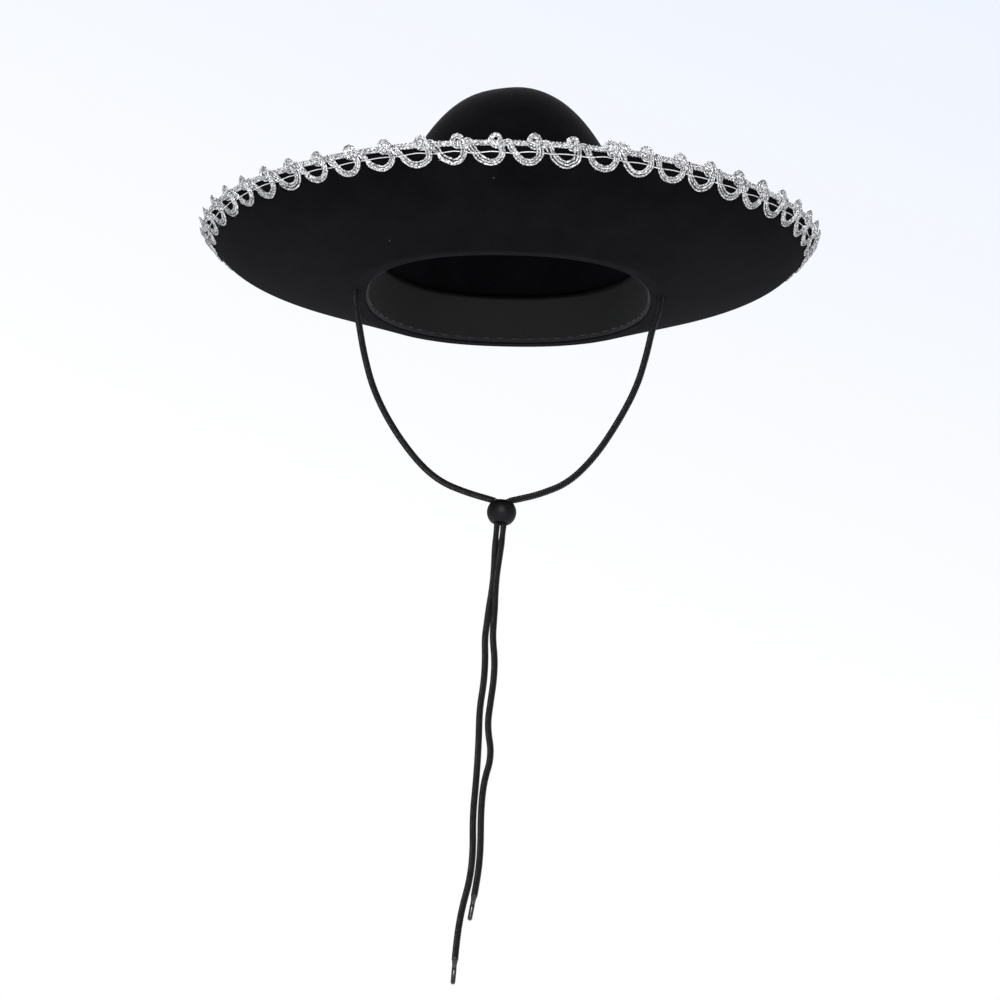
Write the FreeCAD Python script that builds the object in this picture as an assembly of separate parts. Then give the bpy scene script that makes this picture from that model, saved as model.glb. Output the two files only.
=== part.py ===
import FreeCAD, Part
import math
import os

# A child's felt sombrero. Millimetres, +Z up, the hat's front faces -Y.
# The origin is the centre of the head opening, in the plane where the crown meets the brim.

os.makedirs("parts", exist_ok=True)

# Felt and head opening
FELT = 1.8  # thickness of the crown and the brim
LAYER_GAP = 0.1  # air between two sewn layers
COLLAR_THICK = 1.1  # the brim's edge, pressed thinner where it turns up inside the crown
COLLAR_TOP = 10.0
BAND_THICK = 0.5  # sweatband ribbon
BAND_LOW = 0.6
BAND_TOP = 24.0
HEAD_HALF_WIDTH = 76.0  # the opening that the head touches, along X
HEAD_HALF_LENGTH = 93.0  # along Y
HEAD_POWER = 2.3  # superellipse power of the opening
ROUND_POWER = 2.0  # the crown is a plain ellipse at its top

# The layers of the crown wall, as insets from its outer face
COLLAR_INSET = FELT + LAYER_GAP
BAND_INSET = COLLAR_INSET + COLLAR_THICK + LAYER_GAP
WALL_STACK = BAND_INSET + BAND_THICK

# Crown: height above the opening, and how its width falls with height
CROWN_HEIGHT = 116.8
CROWN_HALF_WIDTH = HEAD_HALF_WIDTH + WALL_STACK
CROWN_HALF_LENGTH = HEAD_HALF_LENGTH + WALL_STACK
DOME_WIDTH_POWER = 2.53
DOME_HEIGHT_POWER = 1.08
DOME_RINGS = 10
TIP_SHARE = 0.05  # the dome ends in a flat tip of this share of its width

# Brim: a flat land at the crown's foot, then a slope that curls up to the rim
LAND = 7.8  # from the opening's edge to the start of the slope
RIM_RADIUS = 164.3
RIM_RISE = 37.3  # rim above the opening at the two sides
FRONT_RAISE = 4.6
BACK_RAISE = 9.0
LEAN_SHARE = 0.54  # share of the rise that is the even slope
CURL_POWER = 9
BRIM_STATIONS = (0.0, 0.2, 0.4, 0.58, 0.72, 0.82, 0.9, 0.96, 1.0)
RING_POINTS = 48

# Edge trim: silver gimp sewn to the outer face below the rim
UNITS = 52
FIRST_SCALLOP = 0.5  # in units from +X, so that a gap between two scallops faces the front
HEADER_DOWN = 1.5  # the header's centre line, below the felt edge
HEADER_WIDTH = 3.6
HEADER_THICK = 1.2
PICOT_UP = 0.9  # ring centre above the header's centre line
PICOT_SHIFT = 0.117  # in units, to the right of its scallop
PICOT_RADIUS = 2.3
PICOT_CORD = 1.0
SCALLOP_HALF = 6.05
SCALLOP_CORD = 1.3
SCALLOP_MIDDLE = -6.4
SCALLOP_TURN = -4.45  # where its straight legs become the round bottom
LEG_TOP = -2.0
KNOT_SHIFT = 0.5  # in units, from a scallop to the crossing beside it
KNOT_AT = -3.6
KNOT_CORD = 1.05
KNOT_HALF = 1.2
KNOT_TURN = 35.0
THREAD_AT = -4.9
THREAD_SIDE = 0.5
TRIM_GAP = 0.05
WALK_STEPS = 24  # steps of the walk along the curled felt from the rim
SMALL_TURN = 0.001  # angle and distance for the direction of a line at a point
SMALL_CLIMB = 0.1

# Stitches
SEAM_STITCHES = 64
SEAM_UP = 5.4
BAND_STITCHES = 72
BAND_STITCH_UP = 2.4
STITCH_LENGTH = 3.4
STITCH_RADIUS = 0.3
STITCH_GAP = 0.02

# Chin cord
CORD = 3.4
ARC_SHARE = 0.45  # of the shorter run beside a corner
HOLE_RADIUS = 2.2
HOLE_X = 81.4
HOLE_Y = -15.0
JOIN_UP = 0.9  # the free cord and the run round the crown meet inside the hole
STRAND_GAP = 3.5  # between the two strands' centre lines inside the bead
RUN_UP = 4.2  # the crown run's centre line above the hole
RUN_TURN_RADIUS = 3.2
RUN_POINTS = 11
RUN_OFFSET = 2.95
SEAT = FELT + CORD / 2 + 0.1

# Bead, and the straight stretch that it slides on
BEAD_RADIUS = 7.8
BORE_RADIUS = 3.62
BORE_HALF = 4.2
MOUTH_RADIUS = 4.95
BEAD_X = -1.1
BEAD_Z = -119.7
MOUTH_CORNER_OUT = 0.35  # the middle of the flare, from the bore's edge
MOUTH_CORNER_UP = 1.35
STRAND_SLOPE = 0.078  # sideways per millimetre of drop
CORNER_UP = 7.5  # the corner of each strand above the bead's centre

# Aglets
AGLET_LENGTH = 13.0
AGLET_RADIUS = 1.3
AGLET_TAPER = 1.6

V = FreeCAD.Vector
UP = V(0, 0, 1)


def save(node, shape):
    shape.exportStep("parts/" + node + ".step")
    print(node, "solids", len(shape.Solids), "valid", shape.isValid(), "mm3", round(shape.Volume, 1))


# ---------------------------------------------------------------- rings and bands


def superellipse(half_x, half_y, power, angle):
    """Radius of a superellipse at an angle from +X."""
    along_x = abs(math.cos(angle) / half_x) ** power
    along_y = abs(math.sin(angle) / half_y) ** power
    return (along_x + along_y) ** (-1 / power)


def polar(radius, angle, z):
    return V(radius * math.cos(angle), radius * math.sin(angle), z)


def ring(point_at):
    """A closed smooth edge through the points that point_at gives for each angle."""
    angles = [2 * math.pi * i / RING_POINTS for i in range(RING_POINTS)]
    curve = Part.BSplineCurve()
    curve.interpolate([point_at(a) for a in angles], PeriodicFlag=True)
    return curve.toShape()


def ruled(rings):
    """Straight bands between each ring and the next."""
    return [Part.makeRuledSurface(a, b) for a, b in zip(rings, rings[1:])]


def smooth(rings):
    """One smooth surface through all the rings."""
    return Part.makeLoft([Part.Wire(r) for r in rings], False, False).Faces


def solid(faces):
    shell = Part.makeShell(faces)
    shell.sewShape()
    body = Part.Solid(Part.Shell(shell.Faces))
    if body.Volume < 0:
        body.reverse()
    return body


def closed_band(corners):
    """A solid ring whose cross-section has the corners given, each a function of the angle."""
    rings = [ring(c) for c in corners]
    return solid(ruled(rings + rings[:1]))


# ---------------------------------------------------------------- crown


def dome_point(inset, z, angle):
    """A point of the crown's surface, inset by a wall thickness, at one height."""
    height = CROWN_HEIGHT - inset
    share = z / height
    width = (1 - share**DOME_HEIGHT_POWER) ** (1 / DOME_WIDTH_POWER)
    half_x = CROWN_HALF_WIDTH - inset
    half_y = half_x + (CROWN_HALF_LENGTH - CROWN_HALF_WIDTH) * (1 - share)
    power = ROUND_POWER + (HEAD_POWER - ROUND_POWER) * (1 - share)
    return polar(width * superellipse(half_x, half_y, power, angle), angle, z)


def dome_ring(inset, z):
    return ring(lambda angle: dome_point(inset, z, angle))


def dome_rings(inset):
    height = CROWN_HEIGHT - inset
    heights = [FELT, COLLAR_TOP]
    for i in range(1, DOME_RINGS):
        heights.append(height * math.sin(i * math.pi / 2 / DOME_RINGS))
    tip = (1 - TIP_SHARE**DOME_WIDTH_POWER) ** (1 / DOME_HEIGHT_POWER)
    heights.append(height * tip)
    return [dome_ring(inset, z) for z in heights]


def make_crown():
    outer = dome_rings(0)
    inner = dome_rings(FELT)
    faces = smooth(outer) + smooth(inner)
    faces += ruled([inner[0], outer[0]])
    faces += [Part.Face(Part.Wire(rings[-1])) for rings in (outer, inner)]
    return solid(faces)


def make_sweatband():
    corners = []
    for inset, z in (
        (BAND_INSET, BAND_LOW),
        (BAND_INSET, BAND_TOP),
        (WALL_STACK, BAND_TOP),
        (WALL_STACK, BAND_LOW),
    ):
        corners.append(lambda angle, inset=inset, z=z: dome_point(inset, z, angle))
    return closed_band(corners)


def wall_stitches(count, inset, offset, z):
    """Short threads that lie along the crown's wall, offset outwards from one of its layers."""
    threads = []
    for i in range(count):
        angle = 2 * math.pi * (i + 0.5) / count
        centre = dome_point(inset, z, angle)
        step = dome_point(inset, z, angle + SMALL_TURN) - dome_point(inset, z, angle - SMALL_TURN)
        along = step.normalize()
        outward = along.cross(UP)
        start = centre + outward * offset - along * (STITCH_LENGTH / 2)
        threads.append(Part.makeCylinder(STITCH_RADIUS, STITCH_LENGTH, start, along))
    return Part.makeCompound(threads)


# ---------------------------------------------------------------- brim


def opening(extra, angle):
    """Radius of the head opening, grown by extra on every side."""
    return superellipse(HEAD_HALF_WIDTH + extra, HEAD_HALF_LENGTH + extra, HEAD_POWER, angle)


def rise(angle):
    """Height of the rim at an angle: least at the sides, more at the front and the back."""
    raise_there = FRONT_RAISE if math.sin(angle) < 0 else BACK_RAISE
    return RIM_RISE + raise_there * math.sin(angle) ** 2


def brim_steps(angle, station):
    """How fast the underside moves outwards and upwards there."""
    outwards = RIM_RADIUS - opening(LAND, angle)
    curl = (1 - LEAN_SHARE) * CURL_POWER * station ** (CURL_POWER - 1)
    return outwards, rise(angle) * (LEAN_SHARE + curl)


def brim_point(angle, station, below):
    """A point of the brim, below its underside by a distance square to the felt.

    The station runs from 0 at the end of the land to 1 at the rim.
    """
    outwards, upwards = brim_steps(angle, station)
    curl = (1 - LEAN_SHARE) * station**CURL_POWER
    radius = opening(LAND, angle) + outwards * station
    z = rise(angle) * (LEAN_SHARE * station + curl)
    if station == 0:
        return polar(radius, angle, z - below)
    length = math.hypot(outwards, upwards)
    return polar(radius + below * upwards / length, angle, z - below * outwards / length)


def make_brim():
    def flat_ring(extra, z):
        return ring(lambda angle: polar(opening(extra, angle), angle, z))

    def brim_rings(below):
        return [ring(lambda a, s=s: brim_point(a, s, below)) for s in BRIM_STATIONS]

    under = brim_rings(0)
    over = brim_rings(-FELT)
    foot = dome_ring(COLLAR_INSET, FELT)
    collar_outside = dome_ring(COLLAR_INSET, COLLAR_TOP)
    collar_inside = dome_ring(COLLAR_INSET + COLLAR_THICK, COLLAR_TOP)
    mouth = dome_ring(COLLAR_INSET + COLLAR_THICK, 0)
    faces = smooth(under) + smooth(over)
    faces += ruled([under[-1], over[-1]])
    faces += ruled([over[0], foot, collar_outside, collar_inside, mouth, under[0]])
    body = solid(faces)
    for side in (-1, 1):
        drill = Part.makeCylinder(HOLE_RADIUS, 4 * FELT, V(side * HOLE_X, HOLE_Y, -FELT), UP)
        body = body.cut(drill)
    return body


# ---------------------------------------------------------------- edge trim


def trim_station(angle, up):
    """The brim station that lies a distance up from the header's centre line."""
    station = 1.0
    for _ in range(WALK_STEPS):
        outwards, upwards = brim_steps(angle, station)
        station += (up - HEADER_DOWN) / WALK_STEPS / math.hypot(outwards, upwards)
    return station


def trim_point(angle, up, out):
    """A point of the trim: up the felt from the header's centre line, and out from the felt."""
    return brim_point(angle, trim_station(angle, up), out)


def trim_placement(angle, up, out):
    """Local axes on the felt: X along the rim, Y up the felt, Z out from it."""
    centre = trim_point(angle, up, out)
    along = trim_point(angle + SMALL_TURN, up, out) - trim_point(angle - SMALL_TURN, up, out)
    along.normalize()
    climb = trim_point(angle, up + SMALL_CLIMB, out) - trim_point(angle, up - SMALL_CLIMB, out)
    outward = along.cross(climb).normalize()
    climb = outward.cross(along)
    turn = FreeCAD.Rotation(along, climb, outward, "XZY")
    return FreeCAD.Placement(centre, turn)


def trim_band(low, high, inner, outer):
    corners = []
    for up, out in ((low, inner), (high, inner), (high, outer), (low, outer)):
        corners.append(lambda angle, up=up, out=out: trim_point(angle, up, out))
    return closed_band(corners)


def repeat_along_trim(shape, up, out, shift):
    """Copies of a small shape, one for each unit of the trim."""
    copies = []
    for i in range(UNITS):
        angle = 2 * math.pi * (i + shift) / UNITS
        copy = shape.copy()
        copy.Placement = trim_placement(angle, up, out)
        copies.append(copy)
    return Part.makeCompound(copies)


def scallop():
    """A U of round cord, open at the top, about its own middle."""
    top = LEG_TOP - SCALLOP_MIDDLE
    turn = SCALLOP_TURN - SCALLOP_MIDDLE
    left_top = V(-SCALLOP_HALF, top, 0)
    left_turn = V(-SCALLOP_HALF, turn, 0)
    bottom = V(0, turn - SCALLOP_HALF, 0)
    right_turn = V(SCALLOP_HALF, turn, 0)
    right_top = V(SCALLOP_HALF, top, 0)
    edges = [
        Part.LineSegment(left_top, left_turn).toShape(),
        Part.Arc(left_turn, bottom, right_turn).toShape(),
        Part.LineSegment(right_turn, right_top).toShape(),
    ]
    section = Part.Wire(Part.makeCircle(SCALLOP_CORD, left_top, V(0, 1, 0)))
    return Part.Wire(edges).makePipeShell([section], True, False)


def knot():
    turn = math.radians(KNOT_TURN)
    along = V(math.cos(turn), math.sin(turn), 0)
    start = along * -KNOT_HALF
    body = Part.makeCylinder(KNOT_CORD, 2 * KNOT_HALF, start, along)
    for end in (start, along * KNOT_HALF):
        body = body.fuse(Part.makeSphere(KNOT_CORD, end))
    return body.removeSplitter()


# ---------------------------------------------------------------- cords


def tube(name, route, diameter, corner_radii=None):
    """A round cord along straight runs joined by tangent arcs."""
    points = [V(*p) for p in route]
    edges = []
    radii = []
    start = points[0]
    for i in range(1, len(points) - 1):
        before = points[i] - points[i - 1]
        after = points[i + 1] - points[i]
        half_turn = before.getAngle(after) / 2
        reach = ARC_SHARE * min(before.Length, after.Length)
        if corner_radii and i in corner_radii:
            reach = corner_radii[i] * math.tan(half_turn)
        radius = reach / math.tan(half_turn)
        radii.append(round(radius, 1))
        before.normalize()
        after.normalize()
        arc_start = points[i] - before * reach
        arc_end = points[i] + after * reach
        inward = (after - before).normalize()
        middle = points[i] + inward * (radius / math.cos(half_turn) - radius)
        edges.append(Part.LineSegment(start, arc_start).toShape())
        edges.append(Part.Arc(arc_start, middle, arc_end).toShape())
        start = arc_end
    edges.append(Part.LineSegment(start, points[-1]).toShape())
    path = Part.Wire(edges)
    section = Part.Wire(Part.makeCircle(diameter / 2, points[0], points[1] - points[0]))
    body = path.makePipeShell([section], True, False)
    expected = math.pi * (diameter / 2) ** 2 * path.Length
    print(name, "length", round(path.Length, 1), "volume share", round(body.Volume / expected, 4))
    print(name, "radii", radii)
    return body


def in_plane(points):
    """The free cord hangs in one upright plane through the two holes."""
    return [(x, HOLE_Y, z) for x, z in points]


def strand(side, z, turn):
    """A point of one strand where the two run together, the pair turned by some degrees."""
    reach = side * STRAND_GAP / 2
    middle = BEAD_X + STRAND_SLOPE * (z - BEAD_Z)
    turned = math.radians(turn)
    return (middle + reach * math.cos(turned), HOLE_Y - reach * math.sin(turned), z)


def pair(side):
    """One strand of the pair that runs through the bead, twists partly round and turns back.

    Both strands stay as far from the pair's middle line, so the bead slides along them.
    """
    return [
        strand(side, BEAD_Z + CORNER_UP, 0),
        strand(side, -121.0, 3),
        strand(side, -128.5, 18),
        strand(side, -136.5, 36),
        strand(side, -145.0, 54),
        strand(side, -154.0, 66),
        strand(side, -163.5, 64),
        strand(side, -172.0, 48),
        strand(side, -180.0, 28),
        strand(side, -188.0, 8),
    ]


LEFT_ROUTE = (
    in_plane(
        [
            (-HOLE_X, JOIN_UP),
            (-81.3, -8.0),
            (-79.3, -19.0),
            (-76.5, -35.0),
            (-71.2, -54.8),
            (-60.6, -75.2),
            (-46.6, -93.6),
            (-34.0, -103.6),
            (-20.0, -108.3),
            (-8.5, -110.6),
        ]
    )
    + pair(-1)
    + in_plane(
        [
            (-8.0, -199.5),
            (-8.5, -212.0),
            (-10.5, -226.0),
            (-10.5, -243.0),
            (-11.3, -263.0),
            (-12.8, -283.0),
            (-12.2, -302.0),
            (-13.6, -317.0),
            (-17.4, -332.0),
            (-19.6, -347.0),
            (-20.4, -359.0),
        ]
    )
)

RIGHT_ROUTE = (
    in_plane(
        [
            (HOLE_X, JOIN_UP),
            (81.1, -7.0),
            (77.2, -18.0),
            (74.7, -31.0),
            (69.6, -49.8),
            (59.6, -69.6),
            (47.6, -88.4),
            (34.0, -102.4),
            (18.5, -108.9),
            (7.0, -111.4),
        ]
    )
    + pair(1)
    + in_plane(
        [
            (-3.0, -199.5),
            (-3.3, -210.0),
            (-4.6, -221.0),
            (-6.3, -235.0),
            (-3.4, -250.5),
            (-7.5, -265.0),
            (-8.6, -281.0),
            (-8.3, -299.0),
            (-9.2, -313.5),
            (-11.2, -325.5),
        ]
    )
)


def crown_run_route():
    """The same cord where it lies round the back of the crown, on top of the brim."""
    half_x = CROWN_HALF_WIDTH + RUN_OFFSET
    half_y = CROWN_HALF_LENGTH + RUN_OFFSET
    sweep = math.pi + 2 * math.atan2(-HOLE_Y, HOLE_X)
    first = math.atan2(HOLE_Y, HOLE_X)
    route = [(HOLE_X, HOLE_Y, JOIN_UP), (HOLE_X, HOLE_Y, RUN_UP)]
    for i in range(1, RUN_POINTS):
        angle = first + sweep * i / RUN_POINTS
        radius = superellipse(half_x, half_y, HEAD_POWER, angle)
        route.append((radius * math.cos(angle), radius * math.sin(angle), SEAT))
    route += [(-HOLE_X, HOLE_Y, RUN_UP), (-HOLE_X, HOLE_Y, JOIN_UP)]
    return route


def make_aglet(route):
    """A tip sleeve that narrows from the cord's end and goes on along its last run."""
    end = V(*route[-1])
    along = (end - V(*route[-2])).normalize()
    taper = Part.makeCone(CORD / 2, AGLET_RADIUS, AGLET_TAPER, end, along)
    barrel_length = AGLET_LENGTH - AGLET_TAPER - AGLET_RADIUS
    barrel_start = end + along * AGLET_TAPER
    barrel = Part.makeCylinder(AGLET_RADIUS, barrel_length, barrel_start, along)
    tip = Part.makeSphere(AGLET_RADIUS, barrel_start + along * barrel_length)
    return taper.fuse([barrel, tip]).removeSplitter()


def make_bead():
    """A ball with a straight bore and flared mouths, standing along the strands."""
    mouth_up = math.sqrt(BEAD_RADIUS**2 - MOUTH_RADIUS**2)
    corner = V(BORE_RADIUS + MOUTH_CORNER_OUT, 0, BORE_HALF + MOUTH_CORNER_UP)
    low_corner = V(corner.x, 0, -corner.z)
    outline = [
        Part.Arc(V(MOUTH_RADIUS, 0, -mouth_up), V(BEAD_RADIUS, 0, 0), V(MOUTH_RADIUS, 0, mouth_up)),
        Part.Arc(V(MOUTH_RADIUS, 0, mouth_up), corner, V(BORE_RADIUS, 0, BORE_HALF)),
        Part.LineSegment(V(BORE_RADIUS, 0, BORE_HALF), V(BORE_RADIUS, 0, -BORE_HALF)),
        Part.Arc(V(BORE_RADIUS, 0, -BORE_HALF), low_corner, V(MOUTH_RADIUS, 0, -mouth_up)),
    ]
    face = Part.Face(Part.Wire([edge.toShape() for edge in outline]))
    ball = face.revolve(V(0, 0, 0), UP, 360)
    ball = Part.Solid(ball) if ball.ShapeType != "Solid" else ball
    turn = FreeCAD.Rotation(UP, V(STRAND_SLOPE, 0, 1))
    ball.Placement = FreeCAD.Placement(V(BEAD_X, HOLE_Y, BEAD_Z), turn)
    return ball


# ---------------------------------------------------------------- build

save("crown", make_crown())
save("brim", make_brim())
save("sweatband", make_sweatband())
save(
    "crown_seam_stitches",
    wall_stitches(SEAM_STITCHES, 0, STITCH_RADIUS + STITCH_GAP, SEAM_UP),
)
save(
    "sweatband_stitches",
    wall_stitches(BAND_STITCHES, WALL_STACK, -STITCH_RADIUS - STITCH_GAP, BAND_STITCH_UP),
)

header_low = -HEADER_WIDTH / 2
header_high = HEADER_WIDTH / 2
header_out = TRIM_GAP + HEADER_THICK
thread_out = TRIM_GAP * 2 + SCALLOP_CORD * 2
save("gimp_header_braid", trim_band(header_low, header_high, TRIM_GAP, header_out))
scallop_out = TRIM_GAP + SCALLOP_CORD
save("gimp_scallops", repeat_along_trim(scallop(), SCALLOP_MIDDLE, scallop_out, FIRST_SCALLOP))
picot = Part.makeTorus(PICOT_RADIUS, PICOT_CORD)
picot_at = FIRST_SCALLOP + PICOT_SHIFT
save("gimp_picots", repeat_along_trim(picot, PICOT_UP, TRIM_GAP + PICOT_CORD, picot_at))
knot_at = FIRST_SCALLOP + KNOT_SHIFT
save("gimp_knots", repeat_along_trim(knot(), KNOT_AT, TRIM_GAP + KNOT_CORD, knot_at))
save(
    "gimp_stay_thread",
    trim_band(
        THREAD_AT - THREAD_SIDE / 2,
        THREAD_AT + THREAD_SIDE / 2,
        thread_out,
        thread_out + THREAD_SIDE,
    ),
)

save("chin_cord_left", tube("chin_cord_left", LEFT_ROUTE, CORD))
save("chin_cord_right", tube("chin_cord_right", RIGHT_ROUTE, CORD))
run_route = crown_run_route()
hole_turns = {1: RUN_TURN_RADIUS, len(run_route) - 2: RUN_TURN_RADIUS}
save("chin_cord_crown_run", tube("chin_cord_crown_run", run_route, CORD, hole_turns))
save("chin_cord_bead", make_bead())
save("aglet_left", make_aglet(LEFT_ROUTE))
save("aglet_right", make_aglet(RIGHT_ROUTE))
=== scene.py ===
import math

import bmesh
import bpy
import numpy as np
from mathutils import Matrix, Vector


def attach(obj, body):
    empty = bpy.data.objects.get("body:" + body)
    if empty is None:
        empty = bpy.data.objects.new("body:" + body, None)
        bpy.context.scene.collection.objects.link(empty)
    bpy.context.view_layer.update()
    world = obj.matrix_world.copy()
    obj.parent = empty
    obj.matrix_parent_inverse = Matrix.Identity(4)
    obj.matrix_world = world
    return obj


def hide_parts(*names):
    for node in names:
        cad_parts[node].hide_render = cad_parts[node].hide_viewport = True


# The looks of a child's felt sombrero. Lengths in the geometry below are millimetres, in the
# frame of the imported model, and become metres where a piece is made.

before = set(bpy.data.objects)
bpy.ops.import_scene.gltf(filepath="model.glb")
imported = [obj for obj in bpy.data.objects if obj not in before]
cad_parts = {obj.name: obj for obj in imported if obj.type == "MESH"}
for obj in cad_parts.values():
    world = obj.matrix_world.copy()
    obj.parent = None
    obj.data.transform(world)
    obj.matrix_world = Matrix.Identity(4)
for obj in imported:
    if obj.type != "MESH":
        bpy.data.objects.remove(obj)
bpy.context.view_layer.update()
random = np.random.default_rng(7)

MM = 0.001
TURN = 2 * math.pi

# Camera and studio, in metres
CAMERA_PLACE = (-0.00208, -2.89505, -0.75537)
CAMERA_PITCH = 0.21942
CAMERA_ROLL = 0.02153
SENSOR_WIDTH = 36.0
LENS = 200.28
SKY_SLANT = 0.344  # how much higher the blue tone begins on the left than on the right
SKY_WHITE_UP_TO = 0.205
SKY_BLUE_FROM = 0.335
FLOOR_HALF = 14.0
FLOOR_DOWN = -1.05

# Felt and head opening
FELT = 1.8
LAYER_GAP = 0.1
COLLAR_THICK = 1.1
COLLAR_TOP = 10.0
BAND_THICK = 0.5
BAND_LOW = 0.6
BAND_TOP = 24.0
HEAD_HALF_WIDTH = 76.0
HEAD_HALF_LENGTH = 93.0
HEAD_POWER = 2.3
ROUND_POWER = 2.0
COLLAR_INSET = FELT + LAYER_GAP
BAND_INSET = COLLAR_INSET + COLLAR_THICK + LAYER_GAP
WALL_STACK = BAND_INSET + BAND_THICK

# Crown
CROWN_HEIGHT = 116.8
CROWN_HALF_WIDTH = HEAD_HALF_WIDTH + WALL_STACK
CROWN_HALF_LENGTH = HEAD_HALF_LENGTH + WALL_STACK
DOME_WIDTH_POWER = 2.53
DOME_HEIGHT_POWER = 1.08

# Brim
LAND = 7.8
RIM_RADIUS = 164.3
RIM_RISE = 37.3
FRONT_RAISE = 4.6
BACK_RAISE = 9.0
LEAN_SHARE = 0.54
CURL_POWER = 9

# Edge trim
UNITS = 52
PITCH = 19.6  # the rim's length for one unit
HEADER_DOWN = 1.5  # the header's centre line, below the felt's edge
FIRST_SCALLOP = 0.5  # in units, from +X
WALK_STEPS = 24
TRIM_STEP = 0.45
CORD_APART = 1.32  # between the three cords of the looping bundle
GIMP_CORD = 0.56  # radius
GIMP_SIDES = 8
PICOT_NARROWING = 0.36  # how much closer the three cords lie in the picots
STAY_UP = -4.6  # the stay thread, from the header's centre line
STAY_LOW = 0.42  # its centre, where it lies on the felt
STAY_OVER = 0.95  # how much further out it is where it crosses a leg
LAP_UNIT = 41  # where the trim's two ends overlap
LAP_SHIFT = 6.2
HAIRS = 260
HAIR_RADIUS = 0.07

# Stitches
SEAM_STITCHES = 64
SEAM_UP = 5.4
BAND_STITCHES = 72
BAND_STITCH_UP = 2.4
STITCH_LENGTH = 3.4
STITCH_RADIUS = 0.3

# Chin cord and bead
CORD = 3.4
HOLE_RADIUS = 2.2
HOLE_X = 81.4
HOLE_Y = -15.0  # all the free cord hangs in this plane
JOIN_UP = 0.9
STRAND_GAP = 3.5
RUN_UP = 4.2
RUN_POINTS = 11
RUN_OFFSET = 2.95
SEAT = FELT + CORD / 2 + 0.1
BEAD_RADIUS = 7.8
BORE_RADIUS = 3.62
BORE_HALF = 4.2
MOUTH_RADIUS = 4.95
BEAD_X = -1.1
BEAD_Z = -119.7
STRAND_SLOPE = 0.078
CORNER_UP = 5.9
LIP_OUT = 2.5  # the corner of each strand from the bead's axis
AGLET_LENGTH = 13.0
AGLET_RADIUS = 1.3
CRIMPS = (3.0, 4.1)  # along the sleeve
CRIMP_DEPTH = 0.13

# The cord's braid
BRAID_STRANDS = 8  # each way round
BRAID_LAY = 10.6  # length of cord for one turn of a strand
BRAID_DEPTH = 0.38
BRAID_MIDDLE = 0.62  # the height of relief, from 0 to 1, that lies on the cord's own radius
BRAID_SIDES = 48
BRAID_STEP = 0.24
# How much of the painted highlight on the strand crests the left-hand strands get, against all of
# it on the right-hand ones, as if the light came from their side.
LEFT_HAND_PAINTED_HIGHLIGHT = 0.45
LIP_ROOM = 0.42  # how much thinner the cord is pressed at the bead's lip
LIP_REACH = 4.0
NECK_Z = -131.0  # where the two strands part a little below the bead
NECK_ROOM = 0.26
NECK_REACH = 5.0


# ---------------------------------------------------------------- camera, light, floor


def make_camera():
    """The viewing angle: from the front and below, turned a little about the view's own axis."""
    ahead = Vector((0, math.cos(CAMERA_PITCH), math.sin(CAMERA_PITCH)))
    level_up = Vector((0, -math.sin(CAMERA_PITCH), math.cos(CAMERA_PITCH)))
    level_right = Vector((1, 0, 0))
    right = math.cos(CAMERA_ROLL) * level_right + math.sin(CAMERA_ROLL) * level_up
    up = math.cos(CAMERA_ROLL) * level_up - math.sin(CAMERA_ROLL) * level_right
    camera = bpy.data.cameras.new("camera")
    camera.sensor_width = SENSOR_WIDTH
    camera.lens = LENS
    camera.clip_end = 100.0
    holder = bpy.data.objects.new("camera", camera)
    bpy.context.scene.collection.objects.link(holder)
    turn = Matrix((right, up, -ahead)).transposed().to_4x4()
    holder.matrix_world = Matrix.Translation(CAMERA_PLACE) @ turn
    bpy.context.scene.camera = holder


def area_light(name, place, target, size, power):
    """A rectangular lamp that faces a target."""
    lamp = bpy.data.lights.new(name, "AREA")
    lamp.shape = "RECTANGLE"
    lamp.size, lamp.size_y = size
    lamp.energy = power
    holder = bpy.data.objects.new(name, lamp)
    bpy.context.scene.collection.objects.link(holder)
    holder.location = place
    holder.rotation_mode = "QUATERNION"
    holder.rotation_quaternion = (Vector(target) - Vector(place)).to_track_quat("-Z", "Y")


def make_surround():
    """A white surround, faintly blue high on the right, that lights less than it shows."""
    world = bpy.data.worlds.new("studio")
    bpy.context.scene.world = world
    world.use_nodes = True
    tree = world.node_tree
    tree.nodes.clear()
    link = tree.links.new
    place = tree.nodes.new("ShaderNodeTexCoord")
    slant = tree.nodes.new("ShaderNodeVectorMath")
    slant.operation = "DOT_PRODUCT"
    slant.inputs[1].default_value = (SKY_SLANT, 0.0, 1.0)
    link(place.outputs["Generated"], slant.inputs[0])
    high = tree.nodes.new("ShaderNodeMapRange")
    high.inputs["From Min"].default_value = SKY_WHITE_UP_TO
    high.inputs["From Max"].default_value = SKY_BLUE_FROM
    link(slant.outputs["Value"], high.inputs["Value"])
    kit = {"tree": tree, "link": link}
    tint = mix(kit, high.outputs[0], (1.0, 1.0, 1.0), (0.862, 0.905, 0.995))
    seen = tree.nodes.new("ShaderNodeBackground")
    seen.inputs["Strength"].default_value = 1.0
    link(tint, seen.inputs["Color"])
    light = tree.nodes.new("ShaderNodeBackground")
    light.inputs["Color"].default_value = (0.97, 0.98, 1.0, 1)
    light.inputs["Strength"].default_value = 0.46
    path = tree.nodes.new("ShaderNodeLightPath")
    mixed = tree.nodes.new("ShaderNodeMixShader")
    link(path.outputs["Is Camera Ray"], mixed.inputs[0])
    link(light.outputs[0], mixed.inputs[1])
    link(seen.outputs[0], mixed.inputs[2])
    out = tree.nodes.new("ShaderNodeOutputWorld")
    link(mixed.outputs[0], out.inputs["Surface"])


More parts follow.
